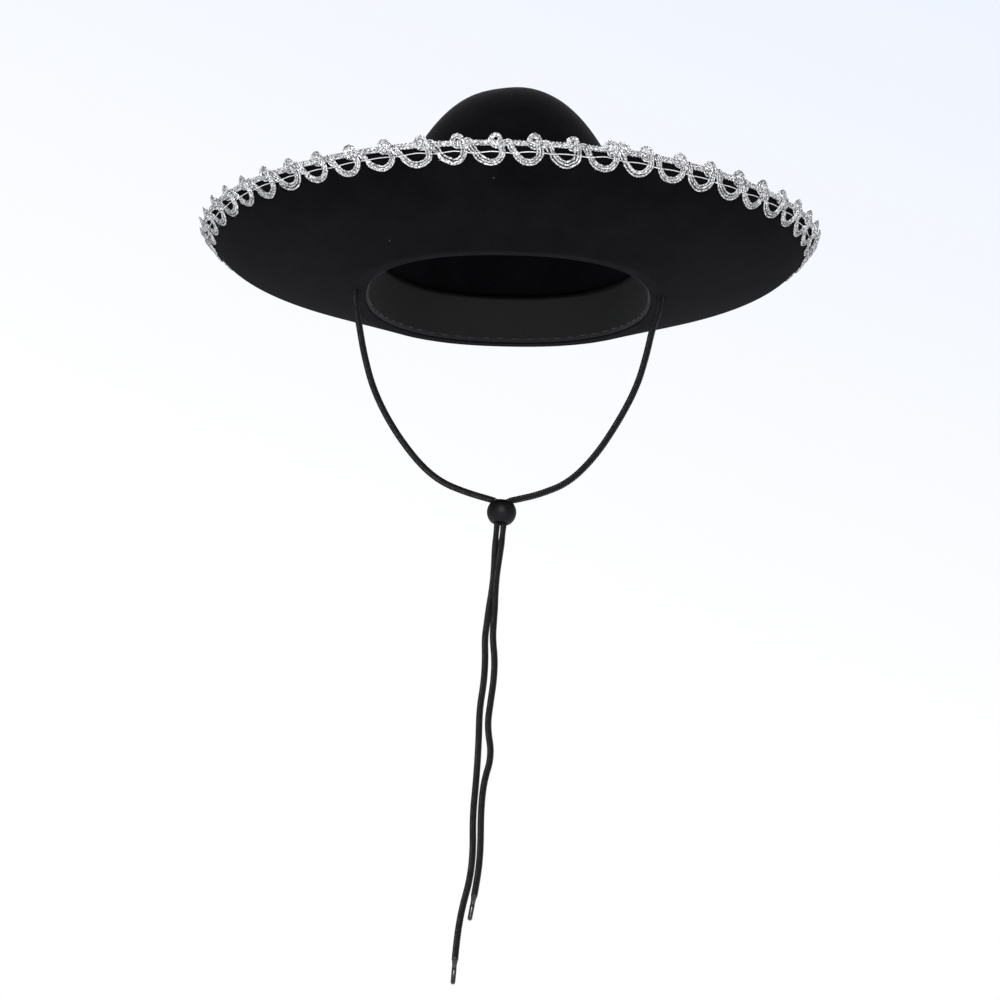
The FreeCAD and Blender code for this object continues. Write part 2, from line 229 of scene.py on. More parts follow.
def make_studio():
    """The surround, soft lamps and a pale floor far below."""
    make_surround()
    area_light("key", (-0.1, -2.3, 0.35), (0, 0, 0), (1.1, 0.8), 47)
    area_light("left_fill", (-2.0, -1.1, -0.45), (0, 0, 0), (0.9, 1.4), 3)
    area_light("right_fill", (1.7, -0.9, -0.8), (0, 0, 0), (0.9, 1.2), 1)
    area_light("top", (0.0, 1.7, 2.2), (0, 0, 0), (1.2, 1.2), 28)
    area_light("back", (0.0, 2.5, 1.8), (0, 0, 0.05), (1.4, 0.8), 32)

    mesh = bpy.data.meshes.new("floor")
    ways = [(-1, -1), (1, -1), (1, 1), (-1, 1)]
    corners = [(x * FLOOR_HALF, y * FLOOR_HALF, FLOOR_DOWN) for x, y in ways]
    mesh.from_pydata(corners, [], [(0, 1, 2, 3)])
    floor = bpy.data.objects.new("floor", mesh)
    bpy.context.scene.collection.objects.link(floor)
    pale = finish_material(
        plain_material("pale_floor"),
        Base_Color=(0.86, 0.87, 0.88),
        Roughness=0.8,
        Specular_IOR_Level=0.2,
        Emission_Color=(0.97, 0.98, 1.0),
        Emission_Strength=0.3,
    )
    mesh.materials.append(pale)
    bpy.context.scene.view_settings.view_transform = "Standard"


# ---------------------------------------------------------------- materials


def plain_material(name):
    """A new material, with what the functions below need to build on it."""
    material = bpy.data.materials.new(name)
    material.use_nodes = True
    tree = material.node_tree
    return {
        "material": material,
        "tree": tree,
        "shader": tree.nodes["Principled BSDF"],
        "link": tree.links.new,
    }


def texture(kit, kind, **values):
    """A procedural texture node that reads the object's own coordinates."""
    if "place" not in kit:
        kit["place"] = kit["tree"].nodes.new("ShaderNodeTexCoord").outputs["Object"]
    node = kit["tree"].nodes.new("ShaderNodeTex" + kind)
    kit["link"](kit["place"], node.inputs["Vector"])
    for name, value in values.items():
        node.inputs[name].default_value = value
    return node


def ramp(kit, source, stops):
    """A colour ramp; each stop is (position, grey or colour)."""
    node = kit["tree"].nodes.new("ShaderNodeValToRGB")
    while len(node.color_ramp.elements) < len(stops):
        node.color_ramp.elements.new(0.5)
    for element, (position, shade) in zip(node.color_ramp.elements, stops):
        element.position = position
        colour = (shade, shade, shade) if isinstance(shade, float) else shade
        element.color = (*colour, 1)
    kit["link"](source, node.inputs["Fac"])
    return node.outputs["Color"]


def mix(kit, factor, first, second, mode="MIX"):
    """A blend of two colours; each input is a number, a colour or a socket."""
    node = kit["tree"].nodes.new("ShaderNodeMix")
    node.data_type = "RGBA"
    node.blend_type = mode
    for socket, value in ((0, factor), (6, first), (7, second)):
        if isinstance(value, (int, float)):
            node.inputs[socket].default_value = value
        elif isinstance(value, tuple):
            node.inputs[socket].default_value = (*value, 1)
        else:
            kit["link"](value, node.inputs[socket])
    return node.outputs[2]


def bump(kit, height, strength, distance, below=None):
    """A bump of so many metres, on top of another bump if one is given."""
    node = kit["tree"].nodes.new("ShaderNodeBump")
    node.inputs["Strength"].default_value = strength
    node.inputs["Distance"].default_value = distance
    kit["link"](height, node.inputs["Height"])
    if below is not None:
        kit["link"](below, node.inputs["Normal"])
    return node.outputs["Normal"]


def finish_material(kit, **values):
    """Sets the shader's own sockets, or links what comes from a node."""
    for name, value in values.items():
        socket = kit["shader"].inputs[name.replace("_", " ")]
        if isinstance(value, bpy.types.NodeSocket):
            kit["link"](value, socket)
        elif isinstance(value, tuple):
            socket.default_value = (*value, 1)
        else:
            socket.default_value = value
    return kit["material"]


def felt_material():
    """Near-black pressed wool: short matted fibres, faint mottling and a few pale lint specks."""
    kit = plain_material("pressed_felt")
    mottle = texture(kit, "Noise", Scale=55.0, Detail=4.0, Roughness=0.6)
    fibres = texture(kit, "Noise", Scale=1500.0, Detail=5.0, Roughness=0.7, Distortion=1.2)
    nap = texture(kit, "Noise", Scale=420.0, Detail=3.0, Roughness=0.6)
    stops = [(0.3, (0.002, 0.0019, 0.0024)), (0.7, (0.0036, 0.0034, 0.0042))]
    shade = ramp(kit, mottle.outputs["Fac"], stops)
    flecks = ramp(kit, fibres.outputs["Fac"], [(0.35, 0.72), (0.7, 1.5)])
    shade = mix(kit, 1.0, shade, flecks, "MULTIPLY")
    specks = texture(kit, "Voronoi", Scale=72.0, Randomness=1.0)
    speck = ramp(kit, specks.outputs["Distance"], [(0.0, 1.0), (0.035, 1.0), (0.055, 0.0)])
    rare = ramp(kit, specks.outputs["Color"], [(0.72, 0.0), (0.82, 1.0)])
    where = mix(kit, 1.0, speck, rare, "MULTIPLY")
    shade = mix(kit, where, shade, (0.2, 0.2, 0.21))
    normal = bump(kit, nap.outputs["Fac"], 0.35, 0.0006)
    normal = bump(kit, fibres.outputs["Fac"], 0.55, 0.0002, normal)
    return finish_material(
        kit,
        Base_Color=shade,
        Roughness=0.95,
        Specular_IOR_Level=0.018,
        Sheen_Weight=0.024,
        Sheen_Roughness=0.45,
        Sheen_Tint=(0.9, 0.92, 1.0),
        Normal=normal,
    )


def ribbon_material():
    """Black grosgrain: fine cross ribs with a low gloss."""
    kit = plain_material("grosgrain_ribbon")
    along = kit["tree"].nodes.new("ShaderNodeAttribute")
    along.attribute_name = "rib"
    wave = kit["tree"].nodes.new("ShaderNodeMath")
    wave.operation = "SINE"
    kit["link"](along.outputs["Fac"], wave.inputs[0])
    threads = texture(kit, "Noise", Scale=2600.0, Detail=3.0, Roughness=0.6)
    stops = [(0.3, (0.003, 0.003, 0.0035)), (0.75, (0.009, 0.009, 0.01))]
    shade = ramp(kit, threads.outputs["Fac"], stops)
    normal = bump(kit, threads.outputs["Fac"], 0.4, 0.00015)
    normal = bump(kit, wave.outputs[0], 0.5, 0.00012, normal)
    return finish_material(
        kit,
        Base_Color=shade,
        Roughness=0.5,
        Specular_IOR_Level=0.16,
        Sheen_Weight=0.03,
        Sheen_Roughness=0.4,
        Normal=normal,
    )


def thread_material():
    """Black sewing thread."""
    kit = plain_material("black_thread")
    fibres = texture(kit, "Noise", Scale=3500.0, Detail=3.0, Roughness=0.6)
    stops = [(0.3, (0.008, 0.008, 0.009)), (0.75, (0.03, 0.03, 0.032))]
    shade = ramp(kit, fibres.outputs["Fac"], stops)
    normal = bump(kit, fibres.outputs["Fac"], 0.5, 0.0001)
    return finish_material(
        kit,
        Base_Color=shade,
        Roughness=0.55,
        Specular_IOR_Level=0.35,
        Sheen_Weight=0.2,
        Normal=normal,
    )


def gimp_material():
    """Silver film thread: tiny facets that sparkle between dark wraps."""
    kit = plain_material("silver_gimp")
    facets = texture(kit, "Voronoi", Scale=1500.0, Randomness=1.0)
    grain = texture(kit, "Noise", Scale=1000.0, Detail=4.0, Roughness=0.8)
    stops = [(0.4, (0.06, 0.06, 0.066)), (0.48, (0.6, 0.595, 0.62)), (0.57, (0.99, 0.99, 1.0))]
    shade = ramp(kit, grain.outputs["Fac"], stops)
    dark = ramp(kit, facets.outputs["Color"], [(0.15, 0.3), (0.55, 1.0)])
    shade = mix(kit, 1.0, shade, dark, "MULTIPLY")
    gloss = ramp(kit, facets.outputs["Distance"], [(0.1, 0.14), (0.6, 0.36)])
    normal = bump(kit, facets.outputs["Distance"], 0.9, 0.0003)
    normal = bump(kit, grain.outputs["Fac"], 0.7, 0.0003, normal)
    return finish_material(
        kit, Base_Color=shade, Metallic=0.8, Roughness=gloss, Specular_IOR_Level=0.6, Normal=normal
    )


def stay_material():
    """Bright silver-white thread, smoother than the gimp."""
    kit = plain_material("bright_stay_thread")
    grain = texture(kit, "Noise", Scale=2400.0, Detail=3.0, Roughness=0.6)
    shade = ramp(kit, grain.outputs["Fac"], [(0.35, (0.42, 0.42, 0.44)), (0.6, (0.86, 0.86, 0.88))])
    normal = bump(kit, grain.outputs["Fac"], 0.4, 0.0001)
    return finish_material(
        kit, Base_Color=shade, Metallic=0.35, Roughness=0.35, Specular_IOR_Level=0.6, Normal=normal
    )


def cord_material():
    """Black polyester braid, with a painted highlight: a lighter colour on each strand's crest."""
    kit = plain_material("black_braid")
    fibres = texture(kit, "Noise", Scale=4200.0, Detail=3.0, Roughness=0.65)
    patches = texture(kit, "Noise", Scale=620.0, Detail=2.0, Roughness=0.6)
    stops = [(0.3, (0.002, 0.002, 0.0022)), (0.75, (0.006, 0.006, 0.0065))]
    shade = ramp(kit, fibres.outputs["Fac"], stops)
    # Painted highlight: the raised strand crests, read from the braid's point attribute, are mixed
    # towards a lighter grey, in patches along the cord.
    painted_highlight = kit["tree"].nodes.new("ShaderNodeAttribute")
    painted_highlight.attribute_name = "painted_highlight"
    lit = ramp(kit, painted_highlight.outputs["Fac"], [(0.25, 0.0), (0.95, 1.0)])
    uneven = ramp(kit, patches.outputs["Fac"], [(0.38, 0.15), (0.62, 1.0)])
    shade = mix(kit, mix(kit, 1.0, lit, uneven, "MULTIPLY"), shade, (0.07, 0.07, 0.073))
    normal = bump(kit, fibres.outputs["Fac"], 0.45, 0.0001)
    return finish_material(
        kit,
        Base_Color=shade,
        Roughness=0.42,
        Specular_IOR_Level=0.07,
        Sheen_Weight=0.01,
        Normal=normal,
    )


def bead_material():
    """Satin black moulded plastic with a very fine grain."""
    kit = plain_material("satin_bead")
    grain = texture(kit, "Noise", Scale=2600.0, Detail=2.0, Roughness=0.5)
    wear = texture(kit, "Noise", Scale=260.0, Detail=3.0, Roughness=0.6)
    stops = [(0.35, (0.0014, 0.0014, 0.0019)), (0.7, (0.0024, 0.0024, 0.0031))]
    shade = ramp(kit, wear.outputs["Fac"], stops)
    gloss = ramp(kit, wear.outputs["Fac"], [(0.35, 0.42), (0.7, 0.5)])
    normal = bump(kit, grain.outputs["Fac"], 0.25, 0.00006)
    return finish_material(
        kit, Base_Color=shade, Roughness=gloss, Specular_IOR_Level=0.165, Normal=normal
    )


def aglet_material():
    """Glossy shrunk plastic, rubbed a little."""
    kit = plain_material("glossy_aglet")
    wear = texture(kit, "Noise", Scale=700.0, Detail=3.0, Roughness=0.6)
    stops = [(0.35, (0.006, 0.006, 0.0065)), (0.7, (0.01, 0.01, 0.011))]
    shade = ramp(kit, wear.outputs["Fac"], stops)
    gloss = ramp(kit, wear.outputs["Fac"], [(0.35, 0.14), (0.7, 0.26)])
    return finish_material(
        kit,
        Base_Color=shade,
        Roughness=gloss,
        Specular_IOR_Level=0.5,
        Coat_Weight=0.4,
        Coat_Roughness=0.08,
    )


# ---------------------------------------------------------------- meshes


def make_piece(name, points, faces, material, body, node):
    """A smooth-shaded mesh piece from points in millimetres, which stands for one CAD node."""
    mesh = bpy.data.meshes.new(name)
    mesh.from_pydata((np.asarray(points) * MM).tolist(), [], faces)
    mesh.polygons.foreach_set("use_smooth", np.ones(len(mesh.polygons), bool))
    mesh.materials.append(material)
    mesh.update()
    piece = bpy.data.objects.new(name, mesh)
    bpy.context.scene.collection.objects.link(piece)
    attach(piece, body)
    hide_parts(node)
    return piece


def grid_faces(rows, columns, close_rows, close_columns, start=0):
    """Quads of a grid of points, listed row by row, that may close on itself either way."""
    i, j = np.meshgrid(
        np.arange(rows if close_rows else rows - 1),
        np.arange(columns if close_columns else columns - 1),
        indexing="ij",
    )
    down = (i + 1) % rows
    across = (j + 1) % columns
    corners = [(i, j), (i, across), (down, across), (down, j)]
    quads = np.stack([row * columns + column for row, column in corners], -1)
    return (quads.reshape(-1, 4) + start).tolist()


def unit(vectors):
    """The same directions, each of length 1."""
    return vectors / np.linalg.norm(vectors, axis=-1, keepdims=True)


def along_line(line, closed=False):
    """Unit tangents of a line of points."""
    if closed:
        return unit(np.roll(line, -1, 0) - np.roll(line, 1, 0))
    return unit(np.gradient(line, axis=0))


def carried_sides(line):
    """A side direction for each point of an open line, carried along with no twist."""
    tangents = along_line(line)
    helper = np.array([0.0, 1.0, 0.0])
    side = helper - tangents[0] * (helper @ tangents[0])
    sides = []
    for tangent in tangents:
        side = side - tangent * (side @ tangent)
        side = side / np.linalg.norm(side)
        sides.append(side)
    return np.array(sides)


def distances(line):
    """How far along the line each of its points is."""
    steps = np.linalg.norm(np.diff(line, axis=0), axis=1)
    return np.concatenate([[0.0], np.cumsum(steps)])


def end_caps(total, count):
    """The two faces that close a tube of so many points, with count points in each ring."""
    return [list(range(count))[::-1], list(range(total - count, total))]


def tube_rings(line, sides, radii, closed=False):
    """The rings of points of a tube: radii holds one row of radii for each point of the line."""
    tangents = along_line(line, closed)
    sides = unit(sides - tangents * np.sum(sides * tangents, -1, keepdims=True))
    thirds = np.cross(tangents, sides)
    angle = (TURN * np.arange(radii.shape[1]) / radii.shape[1])[None, :, None]
    ring = np.cos(angle) * sides[:, None] + np.sin(angle) * thirds[:, None]
    return line[:, None] + radii[:, :, None] * ring


def skin(rings, closed=False):
    """Points and faces of the tube through some rings."""
    points = rings.reshape(-1, 3)
    faces = grid_faces(rings.shape[0], rings.shape[1], closed, True)
    if not closed:
        faces += end_caps(len(points), rings.shape[1])
    return points, faces


def sweep(line, sides, radii):
    """Points and faces of an open tube."""
    return skin(tube_rings(line, sides, radii))


def join(parts):
    """Several (points, faces) in one."""
    points, faces, start = [], [], 0
    for part_points, part_faces in parts:
        points.append(part_points)
        faces += [[k + start for k in face] for face in part_faces]
        start += len(part_points)
    return np.concatenate(points), faces


def lathe(profile, place, axis, count, closed=True):
    """A turned shape; profile is (radius, height) points, a loop or a line with two ends."""
    axis = Vector(axis).normalized()
    turn = np.array(Vector((0, 0, 1)).rotation_difference(axis).to_matrix())
    profile = np.asarray(profile, float)
    angle = TURN * np.arange(count) / count
    x = profile[:, 0, None] * np.cos(angle)
    y = profile[:, 0, None] * np.sin(angle)
    z = np.broadcast_to(profile[:, 1, None], x.shape)
    points = np.stack([x, y, z], -1).reshape(-1, 3) @ turn.T + np.asarray(place)
    faces = grid_faces(len(profile), count, closed, True)
    if not closed:
        faces += end_caps(len(points), count)
    return points, faces


# ---------------------------------------------------------------- chin cord


def in_plane(*points):
    """Points of the free cord from their (x, z)."""
    return [(x, HOLE_Y, z) for x, z in points]


def strand(side, z, turn, apart=STRAND_GAP):
    """A point of one strand where the two run together, the pair turned by some degrees."""
    reach = side * apart / 2
    middle = BEAD_X + STRAND_SLOPE * (z - BEAD_Z)
    turned = math.radians(turn)
    return (middle + reach * math.cos(turned), HOLE_Y - reach * math.sin(turned), z)


def pair(side):
    """One strand of the pair that runs through the bead, twists partly round and turns back."""
    return [
        (BEAD_X + side * LIP_OUT, HOLE_Y, BEAD_Z + CORNER_UP),
        strand(side, -116.9, 0),
        strand(side, -121.0, 0),
        strand(side, -128.5, 3),
        strand(side, -136.5, 18),
        strand(side, -145.0, 46),
        strand(side, -154.0, 64),
        strand(side, -163.5, 56),
        strand(side, -172.0, 26),
        strand(side, -180.0, 3),
        strand(side, -188.0, 0, 4.2),
    ]


# The corner over the bead has one point more than the model, just below it, and the pair parts a
# little sooner at its lower end.
LEFT_ROUTE = [
    *in_plane((-HOLE_X, JOIN_UP), (-81.3, -8.0), (-79.3, -19.0), (-76.3, -35.0), (-70.7, -54.8)),
    *in_plane((-60.0, -75.2), (-46.1, -93.6), (-34.0, -103.9), (-20.3, -109.3), (-8.8, -112.5)),
    *pair(-1),
    *in_plane((-8.0, -199.5), (-8.5, -212.0), (-10.5, -226.0), (-10.5, -243.0), (-11.3, -263.0)),
    *in_plane((-12.8, -283.0), (-12.2, -302.0), (-13.6, -317.0), (-17.4, -332.0)),
    *in_plane((-19.6, -347.0), (-20.4, -359.0)),
]
RIGHT_ROUTE = [
    *in_plane((HOLE_X, JOIN_UP), (81.1, -7.0), (77.2, -18.0), (74.7, -31.0), (69.6, -49.8)),
    *in_plane((59.6, -69.9), (47.6, -88.9), (34.0, -103.1), (18.5, -109.7), (7.0, -112.6)),
    *pair(1),
    *in_plane((-3.0, -199.5), (-3.3, -210.0), (-4.6, -221.0), (-6.3, -235.0), (-3.4, -250.5)),
    *in_plane((-7.5, -265.0), (-8.6, -281.0), (-8.3, -299.0), (-9.2, -313.5), (-11.2, -325.5)),
]


def crown_run_route():
    """The cord's way round the back of the crown, on top of the brim, from hole to hole."""
    first = math.atan2(HOLE_Y, HOLE_X)
    turned = math.pi - 2 * first
    route = [(HOLE_X, HOLE_Y, JOIN_UP), (HOLE_X, HOLE_Y, RUN_UP)]
    for i in range(1, RUN_POINTS):
        angle = first + turned * i / RUN_POINTS
        radius = superellipse(
            CROWN_HALF_WIDTH + RUN_OFFSET, CROWN_HALF_LENGTH + RUN_OFFSET, HEAD_POWER, angle
        )
        route.append((radius * math.cos(angle), radius * math.sin(angle), SEAT))
    return route + [(-HOLE_X, HOLE_Y, RUN_UP), (-HOLE_X, HOLE_Y, JOIN_UP)]


def nurbs_line(route):
    """Evenly spaced points read from the route's NURBS spline."""
    curve = bpy.data.curves.new("route", "CURVE")
    curve.dimensions = "3D"
    curve.resolution_u = 40
    spline = curve.splines.new("NURBS")
    spline.points.add(len(route) - 1)
    for point, place in zip(spline.points, route):
        point.co = (*place, 1.0)
    spline.order_u = 3
    spline.use_endpoint_u = True
    holder = bpy.data.objects.new("route", curve)
    mesh = bpy.data.meshes.new_from_object(holder)
    line = np.array([v.co for v in mesh.vertices], float)
    bpy.data.objects.remove(holder)
    bpy.data.meshes.remove(mesh)
    bpy.data.curves.remove(curve)
    reach = distances(line)
    even = np.linspace(0.0, reach[-1], round(reach[-1] / BRAID_STEP) + 1)
    return np.stack([np.interp(even, reach, line[:, k]) for k in range(3)], axis=1)


def braid(line):
    """A tubular braid, two over and two under, along a cord and round it.

    Gives how high each point stands, from 0 to 1, and a painted highlight for its colour: the
    raised crests are painted lighter, right-hand strands more than left-hand ones, as if lit from
    one side.
    """
    along = distances(line)[:, None]
    around = np.arange(BRAID_SIDES)[None] / BRAID_SIDES
    right_hand = BRAID_STRANDS * (around + along / BRAID_LAY)
    left_hand = BRAID_STRANDS * (around - along / BRAID_LAY)
    right_strand, left_strand = np.floor(right_hand), np.floor(left_hand)
    right_over = (right_strand + left_strand) % 4 < 2
    across = np.where(right_over, right_hand, left_hand) % 1
    right_way = (right_strand + left_hand) % 4 / 2
    left_way = (right_hand + left_strand) % 4 / 2 - 1
    lengthwise = np.clip(np.where(right_over, right_way, left_way), 0, 1)
    rounded = np.sqrt(np.clip(1 - (2 * across - 1) ** 2, 0, 1))
    height = rounded * (0.4 + 0.6 * np.sin(np.pi * lengthwise) ** 0.7)
    return height, height**2 * np.where(right_over, 1.0, LEFT_HAND_PAINTED_HIGHLIGHT)


def make_cord(name, node, route, material):
    """A braided cord along a route, and the line of its centres."""
    line = nurbs_line(route)
    height, painted_highlight = braid(line)
    lip = np.array([BEAD_X, HOLE_Y, BEAD_Z + CORNER_UP])
    pressed = np.exp(-((np.linalg.norm(line - lip, axis=1) / LIP_REACH) ** 2))[:, None]
    necked = np.exp(-(((line[:, 2] - NECK_Z) / NECK_REACH) ** 2))[:, None]
    relief = BRAID_DEPTH * (height - BRAID_MIDDLE)
    radii = CORD / 2 + relief - LIP_ROOM * pressed - NECK_ROOM * necked
    points, faces = sweep(line, carried_sides(line), radii)
    piece = make_piece(name, points, faces, material, "hat", node)
    # The braid's painted highlight is kept on the points, for the material's lighter strand crests.
    layer = piece.data.attributes.new("painted_highlight", "FLOAT", "POINT")
    layer.data.foreach_set("value", painted_highlight.ravel().astype(np.float32))
    return piece, line


def make_aglet(name, node, route, material):
    """A shrunk plastic sleeve with a rolled mouth, two crimp rings and a rounded tip."""
    end = np.array(route[-1])
    axis = unit(end - np.array(route[-2]))
    mouth = CORD / 2
    profile = [
        (0.02, -1.2),
        (mouth - 0.25, -1.2),
        (mouth + 0.02, -1.05),
        (mouth + 0.08, -0.8),
        (mouth + 0.02, -0.5),
        (mouth - 0.12, 0.1),
        (AGLET_RADIUS + 0.1, 1.4),
        (AGLET_RADIUS, 1.9),
    ]
    for ring in CRIMPS:
        profile += [
            (AGLET_RADIUS, ring - 0.3),
            (AGLET_RADIUS - CRIMP_DEPTH, ring - 0.1),
            (AGLET_RADIUS - CRIMP_DEPTH, ring + 0.1),
            (AGLET_RADIUS, ring + 0.3),
        ]
    tip = AGLET_LENGTH - AGLET_RADIUS
    tip_radius = AGLET_RADIUS - 0.05
    tip_rise = 0.9 * AGLET_RADIUS
    profile += [(AGLET_RADIUS - 0.02, 7.5), (tip_radius, tip)]
    for i in range(1, 8):
        angle = i * math.pi / 16
        profile.append((tip_radius * math.cos(angle), tip + tip_rise * math.sin(angle)))
    profile.append((0.02, tip + tip_rise))
    points, faces = lathe(profile, end, axis, 32, closed=False)
    return make_piece(name, points, faces, material, "hat", node)


def make_bead(material):
    """A ball turned about the strands, with flared mouths and a faint moulding line."""
    mouth_up = math.sqrt(BEAD_RADIUS**2 - MOUTH_RADIUS**2)
    profile = []
    start = math.atan2(mouth_up - 0.25, MOUTH_RADIUS + 0.3)
    for i in range(65):
        angle = -start + 2 * start * i / 64
        radius = BEAD_RADIUS + 0.05 * math.exp(-((angle / 0.025) ** 2))
        profile.append((radius * math.cos(angle), radius * math.sin(angle)))
    for way in (1, -1):
        mouth = []
        for i in range(9):
            angle = math.pi / 2 * i / 8
            radius = MOUTH_RADIUS - (MOUTH_RADIUS - BORE_RADIUS) * math.sin(angle) ** 1.2
            height = BORE_HALF + (mouth_up - BORE_HALF) * math.cos(angle)
            mouth.append((radius, height * way))
        profile += mouth if way > 0 else mouth[::-1]
        if way > 0:
            profile += [(BORE_RADIUS, BORE_HALF * (1 - i / 4)) for i in range(1, 8)]
    points, faces = lathe(profile, (BEAD_X, HOLE_Y, BEAD_Z), (STRAND_SLOPE, 0, 1), 96)
    return make_piece("toggle_bead", points, faces, material, "bead", "chin_cord_bead")


# ---------------------------------------------------------------- felt


def superellipse(half_x, half_y, power, angle):
    """Radius of a superellipse at an angle from +X."""
    along_x = np.abs(np.cos(angle) / half_x) ** power
    along_y = np.abs(np.sin(angle) / half_y) ** power
    return (along_x + along_y) ** (-1 / power)


def polar(radius, angle, z):
    """Points from their radius and angle about the hat's axis and their height."""
    radius, angle, z = np.broadcast_arrays(radius, angle, z)
    return np.stack([radius * np.cos(angle), radius * np.sin(angle), z], -1)


def dome_point(inset, z, angle):
    """A point of the crown's surface, inset by a wall thickness, at one height."""
    height = CROWN_HEIGHT - inset
    share = np.clip(z / height, 0, 1)
    width = (1 - share**DOME_HEIGHT_POWER) ** (1 / DOME_WIDTH_POWER)
    half_x = CROWN_HALF_WIDTH - inset
    half_y = half_x + (CROWN_HALF_LENGTH - CROWN_HALF_WIDTH) * (1 - share)
    power = ROUND_POWER + (HEAD_POWER - ROUND_POWER) * (1 - share)
    return polar(width * superellipse(half_x, half_y, power, angle), angle, z)


def soft_dent(angle, z):
    """How far the hand-pressed dome is off its true shape."""
    grow = np.clip((z - 20) / 50, 0, 1)
    waves = np.sin(2 * angle + 0.4 + 0.02 * z) + 0.6 * np.sin(3 * angle + 2.1 - 0.03 * z)
    return 0.32 * grow * grow * (3 - 2 * grow) * waves


def opening(extra, angle):
    """The head opening's radius, made larger by some millimetres."""
    return superellipse(HEAD_HALF_WIDTH + extra, HEAD_HALF_LENGTH + extra, HEAD_POWER, angle)


def rise(angle):
    """The rim's height."""
    raise_there = np.where(np.sin(angle) < 0, FRONT_RAISE, BACK_RAISE)
    return RIM_RISE + raise_there * np.sin(angle) ** 2


def brim_steps(angle, station):
    """How far out and up the brim goes for a unit of station, from 0 inside to 1 at the rim."""
    outwards = RIM_RADIUS - opening(LAND, angle)
    curl = (1 - LEAN_SHARE) * CURL_POWER * np.abs(station) ** (CURL_POWER - 1)
    return outwards, rise(angle) * (LEAN_SHARE + curl)


def waviness(angle, station):
    """Soft unevenness of the pressed brim, most at the rim."""
    waves = np.sin(3 * angle + 0.8) + 0.7 * np.sin(5 * angle + 2.3) + 0.4 * np.sin(8 * angle + 4.0)
    return 0.28 * np.clip(station, 0, 1.2) ** 2 * waves


def brim_point(angle, station, below):
    """A point of the brim, below its underside by a distance square to the felt."""
    outwards, upwards = brim_steps(angle, station)
    curl = (1 - LEAN_SHARE) * np.abs(station) ** CURL_POWER
    radius = opening(LAND, angle) + outwards * station
    z = rise(angle) * (LEAN_SHARE * station + curl) + waviness(angle, station)
    blend = np.clip(station / 0.04, 0, 1)
    upwards = upwards * blend
    length = np.hypot(outwards, upwards)
    return polar(radius + below * upwards / length, angle, z - below * outwards / length)


def trim_point(angle, up, out):
    """A point of the trim: up the felt from the header's centre line, and out from the felt."""
    angle, up, out = np.broadcast_arrays(angle, up, out)
    station = np.ones(angle.shape)
    for _ in range(WALK_STEPS):
        outwards, upwards = brim_steps(angle, station)
        station = station + (up - HEADER_DOWN) / WALK_STEPS / np.hypot(outwards, upwards)
    return brim_point(angle, station, out)


def make_brim(material):
    """The whole brim as one closed skin, with a rounded cut edge and two punched holes."""
    hole = abs(math.atan2(HOLE_Y, HOLE_X))
    even = np.linspace(0, TURN, 480, endpoint=False)
    fine = np.linspace(-0.075, 0.075, 41)
    near_holes = np.concatenate([-hole + fine, math.pi + hole + fine]) % TURN
    apart = np.abs((even[:, None] - near_holes + math.pi) % TURN - math.pi)
    far = even[np.min(apart, axis=1) > 0.004]
    angles = np.sort(np.concatenate([far, near_holes]))[None]
    edge_from = 0.994  # the station where the felt's rounded edge begins
    slope = edge_from * (1 - (1 - np.linspace(0, 1, 34)) ** 1.25)[:-1]
    inside = COLLAR_INSET + COLLAR_THICK
    rows = []

    def land_rows(z, start):
        edge = opening(LAND, angles)
        for share in np.linspace(0, 1, 9)[:-1]:
            rows.append(polar(start + (edge - start) * share, angles, z))

    foot = np.linalg.norm(dome_point(COLLAR_INSET, FELT, angles)[..., :2], axis=-1)
    mouth = np.linalg.norm(dome_point(inside, 0.0, angles)[..., :2], axis=-1)
    land_rows(0.0, mouth + 0.5)
    rows += [brim_point(angles, s, 0.0) for s in slope]
    for i in range(9):
        turn = math.pi * i / 8
        out = -FELT / 2 * (1 - math.cos(turn))
        rows.append(brim_point(angles, edge_from + (1 - edge_from) * math.sin(turn) ** 0.7, out))
    rows += [brim_point(angles, s, -FELT) for s in slope[::-1]]
    before = len(rows)
    land_rows(FELT, foot + 0.3)
    rows[before:] = rows[before:][::-1]
    up_the_collar = (FELT + 0.3, 3.0, 4.5, 6.0, 7.5, 8.8, COLLAR_TOP - 0.3)
    down_inside = (COLLAR_TOP - 0.3, 8.0, 6.0, 4.0, 2.0, 0.5)
    rows += [dome_point(COLLAR_INSET, z, angles) for z in up_the_collar]
    rows.append(dome_point(COLLAR_INSET + 0.25, COLLAR_TOP, angles))
    rows.append(dome_point(inside - 0.25, COLLAR_TOP, angles))
    rows += [dome_point(inside, z, angles) for z in down_inside]
    points = np.concatenate([r.reshape(1, -1, 3) for r in rows])

    # The felt is pulled in a little round each hole.
    for side in (-1, 1):
        from_hole = np.hypot(points[..., 0] - side * HOLE_X, points[..., 1] - HOLE_Y)
        near = (points[..., 2] < 3.2) & (from_hole < 7)
        dip = 0.32 * np.exp(-((np.clip(from_hole - HOLE_RADIUS, 0, None) / 1.4) ** 2)) * near
        underside = points[..., 2] < FELT / 2
        points[..., 2] += np.where(underside, dip, -dip * 0.6)
    faces = grid_faces(len(rows), angles.size, True, True)
    points = points.reshape(-1, 3)
    piece = make_piece("felt_brim", points, faces, material, "hat", "brim")
    for side in (-1, 1):
        punch_hole(piece, side)


def punch_hole(piece, side):
    """Cuts one cord hole out of the felt."""
    line = np.array([(side * HOLE_X, HOLE_Y, z) for z in (-4.0, 6.0)])
    radii = np.full((2, 40), HOLE_RADIUS)
    points, faces = sweep(line, carried_sides(line), radii)
    mesh = bpy.data.meshes.new("punch")
    mesh.from_pydata((points * MM).tolist(), [], faces)
    punch = bpy.data.objects.new("punch", mesh)
    bpy.context.scene.collection.objects.link(punch)
    cut = piece.modifiers.new("hole", "BOOLEAN")
    cut.operation = "DIFFERENCE"
    cut.solver = "EXACT"
    cut.object = punch
    apply_modifiers(piece)
    bpy.data.objects.remove(punch)


